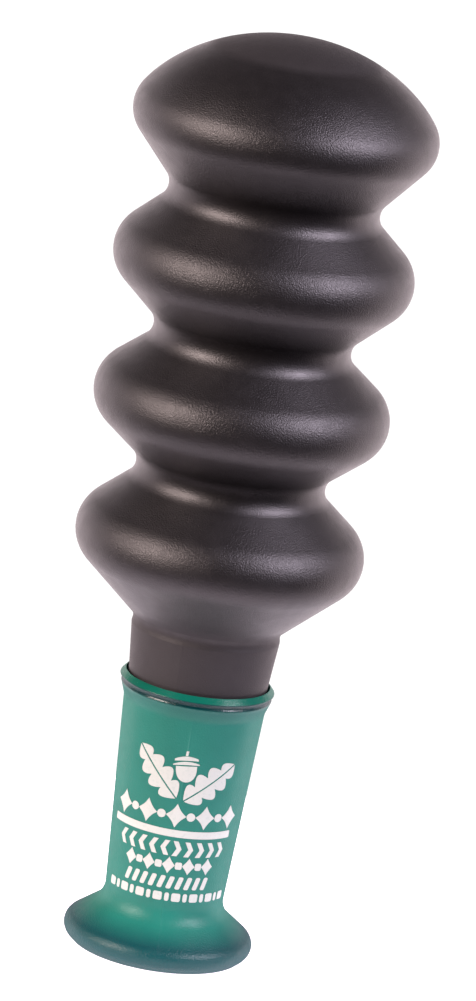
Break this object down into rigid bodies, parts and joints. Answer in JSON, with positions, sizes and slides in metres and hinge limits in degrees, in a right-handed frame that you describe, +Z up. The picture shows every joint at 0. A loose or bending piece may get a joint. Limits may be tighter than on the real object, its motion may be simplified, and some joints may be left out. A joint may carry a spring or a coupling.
{
  "type": "bellows game call",
  "caption": "Hand game call: a black pleated rubber bellows with a domed end, pushed by its tapered neck into a short translucent green tube with a flared bell, with a reed inside.",
  "frame": {"origin": "middle of the bell's base, where the call stands", "axes": "+Z up the call's axis, from the bell to the dome of the bellows; the print faces -Y"},
  "size_m": [0.0482, 0.0482, 0.1492],
  "materials": {
    "bellows_rubber": "satin black moulded rubber",
    "barrel_plastic": "glossy translucent green",
    "insert_plastic": "satin black",
    "reed_film": "clear film",
    "wedge_cork": "cork",
    "print_ink": "white pad print"
  },
  "bodies": {
    "barrel": {"barrel": "barrel_plastic"},
    "neck": {"bellows_neck": "bellows_rubber", "bellows_cone": "bellows_rubber", "reed_insert": "insert_plastic", "tone_board": "insert_plastic", "reed_wedge": "wedge_cork"},
    "reed": {"reed": "reed_film"},
    "fold_lower": {"bellows_fold_lower": "bellows_rubber", "bellows_groove_lower": "bellows_rubber"},
    "fold_middle": {"bellows_fold_middle": "bellows_rubber", "bellows_groove_middle": "bellows_rubber"},
    "fold_upper": {"bellows_fold_upper": "bellows_rubber", "bellows_groove_upper": "bellows_rubber"},
    "crown": {"bellows_crown": "bellows_rubber"}
  },
  "joints": [
    {"name": "barrel_pull", "type": "slide", "parent": "barrel", "child": "neck", "axis": [0, 0, 1], "range_m": [0, 0.034]},
    {"name": "reed_beat", "type": "hinge", "parent": "neck", "child": "reed", "pos_m": [0, 0.00047, 0.041], "axis": [1, 0, 0], "range_deg": [-2.5, 1.5], "stiffness_Nm_per_rad": 0.002},
    {"name": "bellows_flex", "type": "hinge", "parent": "neck", "child": "fold_lower", "pos_m": [0, 0, 0.056], "axis": [0, 1, 0], "range_deg": [-12, 12], "stiffness_Nm_per_rad": 0.6, "deforming": ["bellows_cone"]},
    {"name": "press_lower", "type": "slide", "parent": "fold_lower", "child": "fold_middle", "axis": [0, 0, 1], "range_m": [-0.008, 0.002], "stiffness_N_per_m": 600, "deforming": ["bellows_groove_lower"]},
    {"name": "press_middle", "type": "slide", "parent": "fold_middle", "child": "fold_upper", "axis": [0, 0, 1], "range_m": [-0.008, 0.002], "stiffness_N_per_m": 600, "deforming": ["bellows_groove_middle"]},
    {"name": "press_upper", "type": "slide", "parent": "fold_upper", "child": "crown", "axis": [0, 0, 1], "range_m": [-0.008, 0.002], "stiffness_N_per_m": 600, "deforming": ["bellows_groove_upper"]}
  ],
  "couplings": [
    {"joint": "press_middle", "follows": "press_lower", "ratio": 1},
    {"joint": "press_upper", "follows": "press_lower", "ratio": 1}
  ]
}
